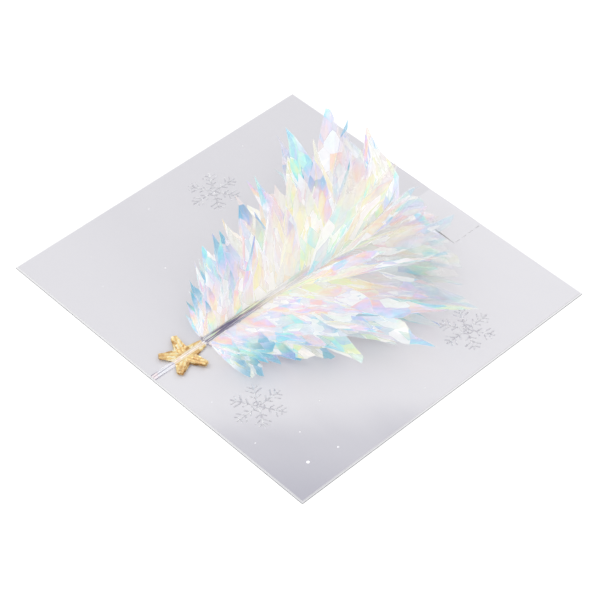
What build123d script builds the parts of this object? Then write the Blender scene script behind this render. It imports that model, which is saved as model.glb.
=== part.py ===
from build123d import *
import math
import os

# Pop up card with a fir tree of iridescent film, lying fully open.
# The origin is at the middle of the card's underside. X runs across the fold, Y along it towards
# the star, and Z up. Millimetres and degrees.

# Driving dimensions of the card
card_length = 230.0
card_width = 210.0
cover_board = 0.45
liner_board = 0.45
liner_setback = 1.0
score_width = 1.4
score_depth = 0.15

# Driving dimensions of the pop-up step in the liner, at the foot of the tree
step_length = 80.0
step_width = 22.5
step_rise = 0.8
slit_width = 0.4
dash_count = 4
dash_share = 0.6

# Driving dimensions of the foil strip that carries the film
strip_width = 4.4
strip_foil = 0.2
strip_foot_gap = 0.5

# Driving dimensions of the film sheets
film = 0.1
sheet_count = 8
anchor_sheets = 4
band_step = 0.22
flange = 3.0
flange_margin = 2.5
row_start = 65.0
row_length = 141.0
row_stagger = 0.5
leaves_in_row = 8
leaf_growth = 0.45
leaf_gap = 0.9
leaf_tip = 0.7
leaf_sweep = 0.06
leaf_hook = 0.22

# The fan: elevations of the lowest and the steepest wing on either side of the fold. The near
# wings' leaves rise further between two places on their way to the foot, the lower ones later,
# and there the lower ones also crowd together
far_fan = (5.0, 80.0)
near_fan = (5.0, 26.0)
far_rise = 0.0
near_rise = 62.0
rise_places = (0.4, 0.75)
far_crowding = 0.0
near_crowding = 1.0
bend_share = 0.36
bend_swing = 2.0

# Angle between leaf and fold, at the star and at the foot
far_angles = (86.0, 80.0)
near_angles = (100.0, 66.0)

# How far the leaves reach from the fold, at equal steps from the star to the foot
far_reach = (28.0, 43.0, 54.0, 68.0, 89.0, 68.0)
near_reach = (38.0, 58.0, 86.0, 102.0, 92.0, 38.0)
reach_spread = 0.3
far_trim = 0.3
near_trim = 0.5

far_wing = (far_fan, far_rise, far_crowding, far_angles, far_reach, far_trim)
near_wing = (near_fan, near_rise, near_crowding, near_angles, near_reach, near_trim)

# Leaf outline: how far out each cross section is, and its width as a share of the leaf's pitch
leaf_stations = (0.0, 0.15, 0.35, 0.55, 0.75, 0.9)
leaf_widths = (0.94, 0.95, 0.91, 0.78, 0.53, 0.29)

# Driving dimensions of the star
star_count = 3
star_center = 82.0
star_reach = 14.2
star_notch = 7.8
star_points = 5
star_blunt = 3.4
star_fan = (3.0, 14.0)

# The uneven numbers that vary the leaves
wobble_rate = 12.9898
wobble_scale = 437.585

# Levels and places that follow from the driving dimensions
cut_through = 4 * (liner_board + step_rise)
liner_top = cover_board + liner_board
liner_length = card_length - 2 * liner_setback
liner_width = card_width - 2 * liner_setback
slit_place = step_width - card_width / 2
strip_foot = slit_place + strip_foot_gap
strip_end = liner_width / 2
row_foot = row_start - row_length
rise_delay = row_stagger / leaves_in_row
star_foot = star_center - star_reach
star_head = star_center + star_notch


def board(length, width, thickness, level):
    """A flat sheet of board with its underside at this level."""
    return Pos(0, 0, level + thickness / 2) * Box(length, width, thickness)


def score(width, level, upward):
    """The shallow pressed groove of the fold, to be cut from a sheet at this level."""
    half = score_width / 2
    tip = level + upward * score_depth
    profile = Plane.XZ * make_face(Polyline((-half, level), (0, tip), (half, level), close=True))
    return extrude(profile, width / 2, both=True)


def make_cover():
    """The outer sheet, folded once: its score is on the underside."""
    return board(card_length, card_width, cover_board, 0) - score(card_width, 0, 1)


def step_half():
    """One half of the popped step, bowed up between the fold and its perforated score."""
    half = step_length / 2
    bow = Line((0, cover_board), (0, liner_top))
    bow += ThreePointArc((0, liner_top), (half / 2, liner_top + step_rise), (half, liner_top))
    bow += Line((half, liner_top), (half, cover_board))
    bow += ThreePointArc((half, cover_board), (half / 2, cover_board + step_rise), (0, cover_board))
    solid = extrude(Plane.XZ * make_face(bow), step_span() / 2, both=True)
    return Pos(0, step_middle(), 0) * solid


def step_span():
    """Length of the step along the fold, from the slit to the liner's edge."""
    return step_width - liner_setback - slit_width / 2


def step_middle():
    """Middle of the step, measured along the fold."""
    return (step_span() - liner_width) / 2


def make_liner():
    """The inner sheet: scored, slit, and perforated where the step folds up."""
    sheet = board(liner_length, liner_width, liner_board, cover_board)
    sheet -= score(liner_width, liner_top, -1)
    sheet -= Pos(0, step_middle(), liner_top) * Box(step_length, step_span(), cut_through)
    sheet -= Pos(0, slit_place, liner_top) * Box(step_length, slit_width, cut_through)
    half = step_half()
    liner = sheet + half + mirror(half, Plane.YZ)
    pitch = step_span() / dash_count
    for side in (-1, 1):
        for number in range(dash_count):
            place = slit_place - (number + 0.5) * pitch
            dash = Box(slit_width, dash_share * pitch, cut_through)
            liner -= Pos(side * step_length / 2, place, liner_top) * dash
    return liner


def make_strip():
    """The flat foil strip along the fold."""
    length = strip_end - strip_foot
    middle = (0, strip_foot + length / 2, liner_top + strip_foil / 2)
    return Pos(*middle) * Box(strip_width, length, strip_foil)


def band_half(level):
    """Half the width of the bonded band at this level of the stack, from 1 at the bottom."""
    return strip_width / 2 - level * band_step


def band_base(level):
    """Height of the underside of the band at this level of the stack."""
    return liner_top + strip_foil + (level - 1) * film


def elevation(fan, number, count):
    """How steep a wing stands, from the first and last value of its fan."""
    return fan[0] + (fan[1] - fan[0]) * (number - 1) / (count - 1)


def on_wing(side, tilt, level, radius, along, height):
    """The point on a wing this far out from its bend, along the fold and off its underside."""
    slope = math.radians(tilt)
    x = band_half(level) + radius * math.cos(slope) - height * math.sin(slope)
    z = band_base(level) + radius * math.sin(slope) + height * math.cos(slope)
    return (side * x, along, z)


def on_leaf(side, flange_tilt, tilt, level, away, along, height):
    """The point on a leaf this far out from the flange's edge, which may stand steeper than it."""
    x, along, z = on_wing(side, flange_tilt, level, flange, along, 0)
    slope = math.radians(tilt)
    outward = away * math.cos(slope) - height * math.sin(slope)
    return (x + side * outward, along, z + away * math.sin(slope) + height * math.cos(slope))


def channel(level, tilts, reach, start, end):
    """A bonded band with a flange bent up on either side, from the near to the far one."""
    base = band_base(level)
    under = [on_wing(-1, tilts[0], level, reach, start, 0), (-band_half(level), start, base)]
    under += [(band_half(level), start, base), on_wing(1, tilts[1], level, reach, start, 0)]
    over = [on_wing(-1, tilts[0], level, reach, start, film)]
    for side, tilt in ((-1, tilts[0]), (1, tilts[1])):
        mitre = film * math.tan(math.radians(tilt) / 2)
        over.append((side * (band_half(level) - mitre), start, base + film))
    over.append(on_wing(1, tilts[1], level, reach, start, film))
    profile = Face(Wire.make_polygon(under + over[::-1]))
    return extrude(profile, end - start, dir=(0, 1, 0))


def flat_band(level, start, end):
    """The bonded band alone, where it runs on past the leaves."""
    middle = band_base(level) + film / 2
    return Pos(0, (start + end) / 2, middle) * Box(2 * band_half(level), end - start, film)


def wobble(seed):
    """A fixed uneven number between -1 and 1."""
    return 2 * (math.sin(seed * wobble_rate) * wobble_scale % 1) - 1


def leaf_root(share):
    """Place along the fold of a leaf that starts at this share of the row."""
    return row_start - row_length * share * (1 - leaf_growth + leaf_growth * share)


def leaf_pitch(share):
    """Room that a leaf has along the fold."""
    return row_length / leaves_in_row * (1 - leaf_growth + 2 * leaf_growth * share)


def row_reach(reaches, share):
    """Reach of the row at this share of it, between the given reaches."""
    place = share * (len(reaches) - 1)
    first = min(int(place), len(reaches) - 2)
    rest = place - first
    return reaches[first] * (1 - rest) + reaches[first + 1] * rest


def leaf_share(number, row):
    """Share of the row at which a leaf starts: every second sheet is staggered."""
    return (row + row_stagger / 2 + row_stagger * (number % 2)) / leaves_in_row


def leaf_tilt(wing, number, share):
    """How steep a leaf stands, at this share of the way from the star to the foot."""
    (lowest, steepest), rise, crowding = wing[:3]
    share -= (sheet_count - number) * rise_delay
    risen = min(1, max(0, (share - rise_places[0]) / (rise_places[1] - rise_places[0])))
    risen *= risen * (3 - 2 * risen)
    step = ((number - 1) / (sheet_count - 1)) ** (1 + crowding * risen)
    return lowest + (steepest + rise * risen - lowest) * step


def leaf_shape(side, number, row):
    """How steep one leaf stands, and its sections: distance from the flange's edge, place along
    the fold, height off the wing, and half width."""
    wing = far_wing if side > 0 else near_wing
    angles, reaches, trim = wing[3:]
    share = leaf_share(number, row)
    first_of_wing = leaves_in_row * (2 * number + (side > 0))
    shorter, belly, lift, hook = (wobble(first_of_wing + row + part / 4) for part in range(4))
    tilt = leaf_tilt(wing, number, share)
    reach = row_reach(reaches, share) * (1 - reach_spread * (1 + shorter) / 2)
    reach *= 1 - trim * share ** 2 * math.sin(math.radians(tilt))
    slant = math.tan(math.radians(angles[0] + (angles[1] - angles[0]) * share))
    lower = max(1, number - 1)
    bend = math.radians(bend_share * (leaf_tilt(wing, lower + 1, share) - leaf_tilt(wing, lower, share)))
    sweep = leaf_sweep * reach + leaf_hook * leaf_pitch(share) * hook
    sections = []
    for station, width in zip(leaf_stations + (1.0,), leaf_widths + (0.0,)):
        away = (reach - flange) * station
        drift = away / slant + sweep * station ** 2
        curl = bend_swing * belly * station * (1 - station) + lift * station ** 2
        half = max(width * (leaf_pitch(share) - leaf_gap), leaf_tip) / 2
        sections.append((away, leaf_root(share) - drift, away * math.tan(bend * curl), half))
    return tilt, sections


def make_leaf(side, number, row):
    """A pointed leaf, bent a little at each section, that rises from the flange's edge.

    Each section is a thin rectangle of film, and flat faces join one section to the next. The side
    walls where the leaf rises from the flange are twisted, so they are two triangles each."""
    tilt, sections = leaf_shape(side, number, row)
    flange_tilt = elevation((far_wing if side > 0 else near_wing)[0], number, sheet_count)
    rings = []
    for away, along, height, half in sections:
        ring = []
        for place, level in ((-half, 0), (half, 0), (half, film), (-half, film)):
            if away == 0:
                ring.append(on_wing(side, flange_tilt, number, flange, along + place, level))
            else:
                ring.append(on_leaf(side, flange_tilt, tilt, number, away, along + place, height + level))
        rings.append(ring)
    outlines = [rings[0], rings[-1]]
    for inner, outer in zip(rings, rings[1:]):
        for first, second in zip(range(4), (1, 2, 3, 0)):
            if inner is rings[0] and first in (1, 3):
                outlines.append([inner[first], inner[second], outer[second]])
                outlines.append([inner[first], outer[second], outer[first]])
            else:
                outlines.append([inner[first], inner[second], outer[second], outer[first]])
    return Solid(Shell([Face(Wire.make_polygon(outline)) for outline in outlines]))


def make_film_sheet(number):
    """One die-cut sheet: its bonded band, two bent flanges and a row of leaves on each."""
    tilts = (elevation(near_fan, number, sheet_count), elevation(far_fan, number, sheet_count))
    rows_end = row_start + flange_margin
    sheet = channel(number, tilts, flange, row_foot - flange_margin, rows_end)
    if number <= anchor_sheets:
        sheet += flat_band(number, rows_end, strip_end)
    if number == sheet_count:
        sheet += flat_band(number, rows_end, star_head)
    return sheet + [make_leaf(side, number, row) for side in (-1, 1) for row in range(leaves_in_row)]


def half_star():
    """Outline of the star on one side of the fold: distance from the fold, place along it."""
    step = math.pi / star_points
    corners = [(0.0, star_notch)]
    for number in range(1, star_points):
        turn = number * step
        radial = (math.sin(turn), math.cos(turn))
        if number % 2 == 0:
            corners.append((star_notch * radial[0], star_notch * radial[1]))
            continue
        for end in (-1, 1):
            across = (end * star_blunt / 2 * radial[1], -end * star_blunt / 2 * radial[0])
            corners.append((star_reach * radial[0] + across[0], star_reach * radial[1] + across[1]))
    corners += [(star_blunt / 2, -star_reach), (0.0, -star_reach)]
    return corners


def make_star_sheet(number):
    """One foil star, bonded over the strip like the film, with its points bent up."""
    level = anchor_sheets + number
    tilt = elevation(star_fan, number, star_count)
    sheet = channel(level, (tilt, tilt), film, star_foot, star_head)
    for side in (-1, 1):
        corners = [on_wing(side, tilt, level, away, star_center + along, 0) for away, along in half_star()]
        lift = Vector(on_wing(side, tilt, level, 0, 0, film)) - Vector(on_wing(side, tilt, level, 0, 0, 0))
        sheet += extrude(Face(Wire.make_polygon(corners)), film, dir=lift)
    return sheet


os.makedirs("parts", exist_ok=True)
export_step(make_cover(), "parts/card_cover.step")
export_step(make_liner(), "parts/card_liner.step")
export_step(make_strip(), "parts/seam_strip.step")
for sheet in range(1, sheet_count + 1):
    export_step(make_film_sheet(sheet), f"parts/film_sheet_{sheet}.step")
for sheet in range(1, star_count + 1):
    export_step(make_star_sheet(sheet), f"parts/star_sheet_{sheet}.step")
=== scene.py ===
"""Dresses the pop up card: pearl boards, silver flakes, film leaves, a gold star, and its stage."""

from math import atan2, copysign, cos, pi, radians, sin, tan, tau

import bmesh
import bpy
from mathutils import Matrix, Vector, noise


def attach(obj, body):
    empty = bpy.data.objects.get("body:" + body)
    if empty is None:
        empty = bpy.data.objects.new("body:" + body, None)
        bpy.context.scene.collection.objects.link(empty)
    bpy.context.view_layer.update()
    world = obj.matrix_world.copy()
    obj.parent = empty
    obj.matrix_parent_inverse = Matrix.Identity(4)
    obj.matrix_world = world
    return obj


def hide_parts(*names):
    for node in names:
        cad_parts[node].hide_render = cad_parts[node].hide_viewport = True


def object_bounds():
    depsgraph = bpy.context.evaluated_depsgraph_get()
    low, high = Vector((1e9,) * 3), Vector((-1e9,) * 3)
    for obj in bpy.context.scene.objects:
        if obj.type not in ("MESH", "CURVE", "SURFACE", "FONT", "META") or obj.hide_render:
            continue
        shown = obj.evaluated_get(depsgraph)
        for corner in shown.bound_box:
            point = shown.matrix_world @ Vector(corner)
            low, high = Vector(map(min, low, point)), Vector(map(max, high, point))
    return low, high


bl_info = {
    "name": "Pop Up Card",
    "version": (1, 0, 0),
    "blender": (4, 5, 0),
    "location": "View3D > Sidebar > Card",
    "description": "Builds the film tree, star, flakes and boards of a pop up card",
    "category": "Add Mesh",
}

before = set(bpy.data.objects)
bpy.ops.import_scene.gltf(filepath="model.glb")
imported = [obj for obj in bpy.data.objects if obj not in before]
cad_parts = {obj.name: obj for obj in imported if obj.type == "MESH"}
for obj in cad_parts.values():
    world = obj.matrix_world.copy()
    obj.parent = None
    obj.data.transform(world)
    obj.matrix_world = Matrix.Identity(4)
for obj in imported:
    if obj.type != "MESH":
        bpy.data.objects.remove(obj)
CAD_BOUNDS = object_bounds()
MM = 0.001

# Layout of the seam, in millimetres, as the solids have it
LINER_TOP = 0.9
STRIP_WIDTH = 4.4
STRIP_FOIL = 0.2
BEAD_PLACE = 1.05
BEAD_FACES = 7
STRIP_FOOT = -82.0
STRIP_END = 104.0
FILM = 0.1
SHEET_COUNT = 8
ANCHOR_SHEETS = 4
BAND_STEP = 0.22
FLANGE = 3.0
FLANGE_MARGIN = 2.5
ROW_START = 65.0
ROW_LENGTH = 141.0
ROW_STAGGER = 0.5
LEAVES_IN_ROW = 8
LEAF_GROWTH = 0.45
LEAF_GAP = 0.9
LEAF_SWEEP = 0.06

# The fan of the film, its leaf angles and its reaches, as the solids have them
FAR_WING = ((5.0, 80.0), 0.0, 0.0, (86.0, 80.0), (28.0, 43.0, 54.0, 68.0, 89.0, 68.0), 0.3)
NEAR_WING = ((5.0, 26.0), 62.0, 1.0, (100.0, 66.0), (38.0, 58.0, 86.0, 102.0, 92.0, 38.0), 0.5)
RISE_PLACES = (0.4, 0.75)
LEAF_HOOK = 0.22
BEND_SHARE = 0.36
BEND_SWING = 2.0
REACH_SPREAD = 0.3

# The star
STAR_COUNT = 3
STAR_CENTER = 82.0
STAR_REACH = 14.2
STAR_NOTCH = 7.8
STAR_POINTS = 5
STAR_BLUNT = 3.4
STAR_FAN = (3.0, 14.0)
STAR_LEAN = 0.55
PLEAT_WIDTH = 2.1

# Flakes and dots on the liner: place across and along the fold, and span or width
FLAKES = ((-52.6, 77.3), (84.1, -14.4), (-90.0, -40.2))
DOTS = (
    (-97.8, 84.7, 1.7), (-101.2, 66.8, 1.2), (-80.4, 73.9, 1.0), (-34.0, 93.0, 0.8),
    (-70.0, 95.5, 0.8), (-72.0, 52.0, 0.8), (57.0, 46.0, 1.0), (92.0, 70.0, 0.8),
    (70.0, 80.0, 0.8), (99.0, 22.0, 0.8), (-104.0, 6.0, 0.8), (101.0, -52.0, 0.8))
DOT_HEIGHT = 0.45

# Side bars of a flake's arm: place and length along it, how much thinner, and turns in degrees
FLAKE_BRANCHES = (
    (0.36, 0.24, 0.85, (-55, 55)), (0.58, 0.34, 0.85, (-55, 55)), (0.78, 0.24, 0.85, (-55, 55)),
    (0.24, 0.24, 0.8, (-120,)))

# Visible unevenness of the film, beyond what the solids have
CHANNEL_STEPS = 56
FLANGE_RIPPLE = 0.16
UNEVEN_ACROSS = 0.22
UNEVEN_OUTWARD = 0.32
HELD = 0.1
FADE_FROM = 0.4
CLEAREST = 0.85
LOBE_SEEDS = (17.3, 5.1)

# How far each kind of lobe lies off its leaf's midline, and its width, in half widths of the leaf
LOBE_KINDS = {"whole": (0.0, 1.05), "main": (0.4, 0.7), "small": (0.6, 0.5)}

# Lobes of each wing: outline, tips, spread of tones, and from which leaf and how much their tips fade
FAR_LOBES = {"fullness": 2.9, "blunt": 0.0, "tones": 1.4, "fade from": 0.65, "fade": 0.5}
NEAR_LOBES = {"fullness": 4.6, "blunt": 0.16, "tones": 1.0, "fade from": 0.4, "fade": 0.9}

# Places on the near wing, as shares of the way from the star to the foot
NEAR_STAR = 0.35
TWIST_FROM = 0.4
ACCENT_TO = 0.62
FOOT_SHARE = 0.9
FOOT_LENGTH = 0.78
STAR_TONES = 0.5

# Finishes, in metres where they are lengths
WHITE = (1.0, 1.0, 1.0)
BLACK = (0.0, 0.0, 0.0)
# Painted shade on the boards: the direction of the near corner, and the spans of the way there where
# they turn grey (from, to, how much)
NEAR_CORNER = (-0.726, 0.687, 0.0)
BOARD_SHADE_FADES = ((0.086, 0.116, 0.6), (0.112, 0.160, 0.4))
CLOUD_STRETCH = (9.0, 22.0, 9.0)
CLOUD_WANDER = 0.015
FOLD_BLUR = 0.0006
GRAIN_SCALE = 900.0
RIDGE_WIDTH = 0.07
SHADED_SLOPE = (-0.72, 0.69, 0.0)
FILM_LEAN = (0.55, 0.35, 0.4)
FILM_DULLING = (0.74, 0.74, 0.74)
HUE_START = 0.84

# Stage: the floor, the lamps with their place, width and power, and the camera's angles and place
FLOOR_GAP = 0.0001
FLOOR_COLOUR = (0.86, 0.86, 0.86)
FLOOR_GLOW = 0.42
LAMPS = (("window_lamp", (2.4, 1.1, 3.1), 1.8, 66.0), ("side_lamp", (-2.5, 1.2, 2.0), 1.2, 18.0),
         ("back_lamp", (0.8, -3.2, 2.2), 1.5, 30.0))
CAMERA_ANGLES = (-132.864, 46.216, -0.781)
CAMERA_PLACE = (1.635, -10.405, 1216.43)


# Sizes and colours

def measure(name, description, value, low, high, unit="NONE"):
    """A number property for the card."""
    return bpy.props.FloatProperty(
        name=name, description=description, default=value, min=low, max=high, unit=unit,
        precision=5 if unit == "LENGTH" else 2)


def tint(name, description, value):
    """A colour property for the card."""
    return bpy.props.FloatVectorProperty(
        name=name, description=description, subtype="COLOR", size=3, min=0.0, max=1.0, default=value)


class CardSizes(bpy.types.PropertyGroup):
    """Sizes of the pieces that are dressed."""

    flake_span: measure("Flake span", "Width of a flake over its arms", 0.031, 0.01, 0.05, "LENGTH")
    flake_line: measure("Flake line", "Width of the lines of a flake", 0.0011, 0.0002, 0.003, "LENGTH")
    flake_relief: measure("Flake relief", "Height of the raised lines", 0.0003, 0.00005, 0.001, "LENGTH")
    bead_radius: measure(
        "Bead radius", "Radius of the beads along the seam", 0.00034, 0.0001, 0.001, "LENGTH")
    film_thickness: measure("Film thickness", "Thickness of the film", 0.0001, 0.00005, 0.0005, "LENGTH")
    leaf_crease: measure(
        "Leaf crease", "Depth of the crease along a leaf, as a share of its half width", 0.32, 0.0, 1.0)
    leaf_twist: measure(
        "Leaf twist", "How far a leaf turns from root to tip", 0.62, 0.0, 1.5, "ROTATION")
    leaf_crinkle: measure(
        "Leaf crinkle", "Depth of the uneven dents in a leaf", 0.0012, 0.0, 0.003, "LENGTH")
    facet_length: measure(
        "Facet length", "Length of the flat facets of a leaf", 0.0085, 0.002, 0.03, "LENGTH")
    star_share: measure(
        "Star share", "Width of the crumpled star, as a share of the flat one", 0.93, 0.8, 1.0)
    star_notch: measure(
        "Star notch", "Depth left of the star's notches, as a share of the flat one", 0.8, 0.6, 1.0)
    foil_pleat: measure(
        "Foil pleat", "Height of the pleats in the star's foil", 0.00028, 0.0, 0.001, "LENGTH")


class CardColours(bpy.types.PropertyGroup):
    """Colours of the finishes, in linear light."""

    board_light: tint("Board, light", "Pearl board on the near panel", (0.80, 0.79, 0.83))
    # Painted shade: the far panel is darker, as if it caught less light
    board_far_shade: tint("Board, far", "Pearl board on the far panel", (0.735, 0.725, 0.765))
    # Painted shade: the board greys towards its near corner; faint random clouds also lean to this
    # colour
    board_shade: tint("Board, shade", "Pearl board where its sheen turns grey", (0.50, 0.495, 0.565))
    board_core: tint("Liner, cut edge", "Paper core at the liner's cut edge", (0.86, 0.86, 0.87))
    # Painted shade: the cover's cut edge is dark as if in shadow
    board_cut_shade: tint("Cover, cut edge", "Grey core at the cover's cut edge", (0.10, 0.10, 0.11))
    silver_light: tint("Silver, light", "Silver foil", (0.90, 0.90, 0.92))
    # Darker silver of random facets, and painted shade on one slope of the stamped lines
    silver_dark: tint("Silver, dark", "Silver foil in its dents", (0.58, 0.57, 0.62))
    # Painted shade: dark lines in the creases beside the seam's beads and along its sunk middle
    silver_crease_shade: tint("Silver, line", "Dark lines along the seam", (0.30, 0.29, 0.34))
    gold_light: tint("Gold, light", "Gold foil", (0.88, 0.61, 0.27))
    # Deeper gold of random facets, and painted shade in the valleys of the star's pleats
    gold_deep: tint("Gold, deep", "Gold foil in its dents", (0.56, 0.31, 0.10))
    film_clear: tint("Film, clear", "Film where it shows no colour", (0.93, 0.94, 0.97))
    film_blue: tint("Film, blue", "Deep blue glints at the leaf tips", (0.17, 0.51, 0.72))
    film_violet: tint("Film, violet", "Deep violet glints at some leaf tips", (0.34, 0.42, 0.82))
    # Painted shade: dark film deep in the seam near the star, and in lines at the bands' edges
    film_seam_shade: tint("Film, sunk", "Film deep in the seam near the star", (0.24, 0.22, 0.33))
    # Painted glow: the share of it that the leaf tips keep
    film_tip_glow: tint("Film, lit", "Share of the light inside the film that its tips keep", (0.7, 0.7, 0.7))


PASTELS = (
    (0.00, (1.0, 0.92, 0.68)), (0.10, (1.0, 0.76, 0.52)), (0.20, (1.0, 0.6, 0.64)),
    (0.30, (0.82, 0.66, 1.0)), (0.40, (0.56, 0.7, 1.0)), (0.50, (0.3, 0.76, 0.98)),
    (0.60, (0.4, 0.96, 0.92)), (0.70, (0.62, 1.0, 0.76)), (0.80, (0.9, 1.0, 0.56)),
    (0.90, (1.0, 0.94, 0.52)), (1.0, (1.0, 0.92, 0.68)))


class CardStage(bpy.types.PropertyGroup):
    """The stage around the card."""

    lens: measure("Lens", "Focal length of the camera", 133.164, 20, 300)
    lamp_level: measure("Lamp level", "Strength of the soft lamps together", 0.42, 0.0, 5.0)
    world_level: measure("World level", "Strength of the plain surroundings", 0.8, 0.0, 2.0)
    floor_size: measure("Floor size", "Width of the floor", 12.0, 1.0, 50.0, "LENGTH")


# Shader nodes

def set_input(tree, node, key, value):
    """Sets one input of a node, or links it where the value is a socket."""
    socket = node.inputs[key]
    if isinstance(value, bpy.types.NodeSocket):
        tree.links.new(value, socket)
    elif socket.type == "RGBA" and len(value) == 3:
        socket.default_value = (*value, 1.0)
    else:
        socket.default_value = value


def finish(tree, shader, inputs):
    """Sets or links several inputs of a shader."""
    for key, value in inputs.items():
        set_input(tree, shader, key, value)


def place(tree, kind, inputs=None, **settings):
    """Adds a node with these settings and inputs."""
    node = tree.nodes.new("ShaderNode" + kind)
    for name, value in settings.items():
        setattr(node, name, value)
    finish(tree, node, inputs or {})
    return node


def maths(tree, operation, *values, clamp=False):
    """The result of a Math node."""
    node = place(tree, "Math", dict(enumerate(values)), operation=operation, use_clamp=clamp)
    return node.outputs[0]


def times(tree, first, second):
    """The product of two values."""
    return maths(tree, "MULTIPLY", first, second)


def times_plus(tree, first, second, more, clamp=False):
    """The product of two values, and one more added to it."""
    return maths(tree, "MULTIPLY_ADD", first, second, more, clamp=clamp)


def vector_maths(tree, operation, first, second):
    """The result of a Vector Math node."""
    other = 3 if operation == "SCALE" else 1
    node = place(tree, "VectorMath", {0: first, other: second}, operation=operation)
    return node.outputs["Value" if operation == "DOT_PRODUCT" else "Vector"]


def axis_of(tree, vector, axis):
    """One part of a vector: 0 across the fold, 1 along it, 2 upwards."""
    return place(tree, "SeparateXYZ", {0: vector}).outputs[axis]


def blend(tree, share, first, second, kind="MIX"):
    """The result of mixing two colours."""
    node = place(tree, "Mix", {0: share, 6: first, 7: second}, data_type="RGBA", blend_type=kind)
    return node.outputs[2]


def between(tree, value, low, high, to_low=0.0, to_high=1.0):
    """A value eased from one range to another."""
    inputs = {0: value, 1: low, 2: high, 3: to_low, 4: to_high}
    return place(tree, "MapRange", inputs, interpolation_type="SMOOTHSTEP").outputs[0]


def ramp(tree, value, stops):
    """A colour ramp over these stops."""
    node = place(tree, "ValToRGB", {0: value})
    marks = node.color_ramp.elements
    while len(marks) < len(stops):
        marks.new(0.5)
    for mark, (position, colour) in zip(marks, stops):
        mark.position = position
        mark.color = (*colour, 1.0)
    return node.outputs[0]


def noise_value(tree, vector, scale, detail=2.0):
    """The value of a noise texture."""
    return place(tree, "TexNoise", {"Vector": vector, "Scale": scale, "Detail": detail}).outputs[0]


def stretched(tree, vector, scale):
    """A vector stretched by a Mapping node."""
    return place(tree, "Mapping", {"Vector": vector, "Scale": scale}).outputs[0]


def group_of(name, inputs, outputs):
    """A new shader node group with these sockets, and its two end nodes."""
    tree = bpy.data.node_groups.new(name, "ShaderNodeTree")
    for socket, kind in inputs:
        tree.interface.new_socket(socket, in_out="INPUT", socket_type="NodeSocket" + kind)
    for socket in outputs:
        tree.interface.new_socket(socket, in_out="OUTPUT", socket_type="NodeSocketFloat")
    return tree, tree.nodes.new("NodeGroupInput").outputs, tree.nodes.new("NodeGroupOutput")


def crumple_group():
    """Facets as of crumpled film or foil: two tones for each, its ridges and a height."""
    name = "Crumpled facets"
    if name in bpy.data.node_groups:
        return bpy.data.node_groups[name]
    tree, given, end = group_of(
        name, (("Vector", "Vector"), ("Scale", "Float"), ("Bend", "Float")),
        ("Tone", "Second tone", "Ridge", "Height"))
    middle = (0.5, 0.5, 0.5)
    bent = place(tree, "TexNoise", {"Vector": given["Vector"], "Scale": 0.6, "Detail": 1.0})
    shift = vector_maths(tree, "SUBTRACT", bent.outputs["Color"], middle)
    swing = vector_maths(tree, "SCALE", shift, given["Bend"])
    moved = vector_maths(tree, "ADD", given["Vector"], swing)
    spot = {"Vector": moved, "Scale": given["Scale"]}
    cells = place(tree, "TexVoronoi", spot)
    edges = place(tree, "TexVoronoi", spot, feature="DISTANCE_TO_EDGE")
    parts = place(tree, "SeparateColor", {0: cells.outputs["Color"]})
    lean = vector_maths(tree, "SUBTRACT", cells.outputs["Color"], middle)
    scaled = vector_maths(tree, "SCALE", moved, given["Scale"])
    offset = vector_maths(tree, "SUBTRACT", scaled, cells.outputs["Position"])
    finish(tree, end, {
        "Tone": parts.outputs[0], "Second tone": parts.outputs[1],
        "Ridge": between(tree, edges.outputs[0], 0.0, RIDGE_WIDTH, 1.0, 0.0),
        "Height": vector_maths(tree, "DOT_PRODUCT", lean, offset)})
    return tree


def board_group():
    """The pearl board's pattern: fine grain, soft clouds, and a mask of its cut edges."""
    name = "Pearl board"
    if name in bpy.data.node_groups:
        return bpy.data.node_groups[name]
    tree, given, end = group_of(
        name, (("Vector", "Vector"), ("Grain scale", "Float")), ("Clouds", "Grain", "Cut edge"))
    vector = given["Vector"]
    upright = maths(tree, "ABSOLUTE", axis_of(tree, place(tree, "NewGeometry").outputs["Normal"], 2))
    finish(tree, end, {
        "Clouds": noise_value(tree, stretched(tree, vector, CLOUD_STRETCH), 1.0, 3.0),
        "Grain": noise_value(tree, vector, given["Grain scale"], 3.0),
        "Cut edge": between(tree, upright, 0.3, 0.8, 1.0, 0.0)})
    return tree


def use_group(tree, group, inputs):
    """The outputs of a node group placed with these values."""
    node = tree.nodes.new("ShaderNodeGroup")
    node.node_tree = group
    finish(tree, node, inputs)
    return node.outputs


def new_material(name):
    """A new material, its tree and its Principled shader."""
    material = bpy.data.materials.new(name)
    material.use_nodes = True
    tree = material.node_tree
    return material, tree, tree.nodes["Principled BSDF"]


def object_place(tree):
    """The object coordinates of the surface."""
    return place(tree, "TexCoord").outputs["Object"]


def carry(tree, name):
    """A value that the mesh carries from point to point."""
    return place(tree, "Attribute", attribute_name=name, attribute_type="GEOMETRY").outputs["Fac"]


def bump(tree, height, distance, strength, **inputs):
    """The normal of a surface with this height."""
    inputs.update({"Height": height, "Distance": distance, "Strength": strength})
    return place(tree, "Bump", inputs).outputs[0]


# Finishes

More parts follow.
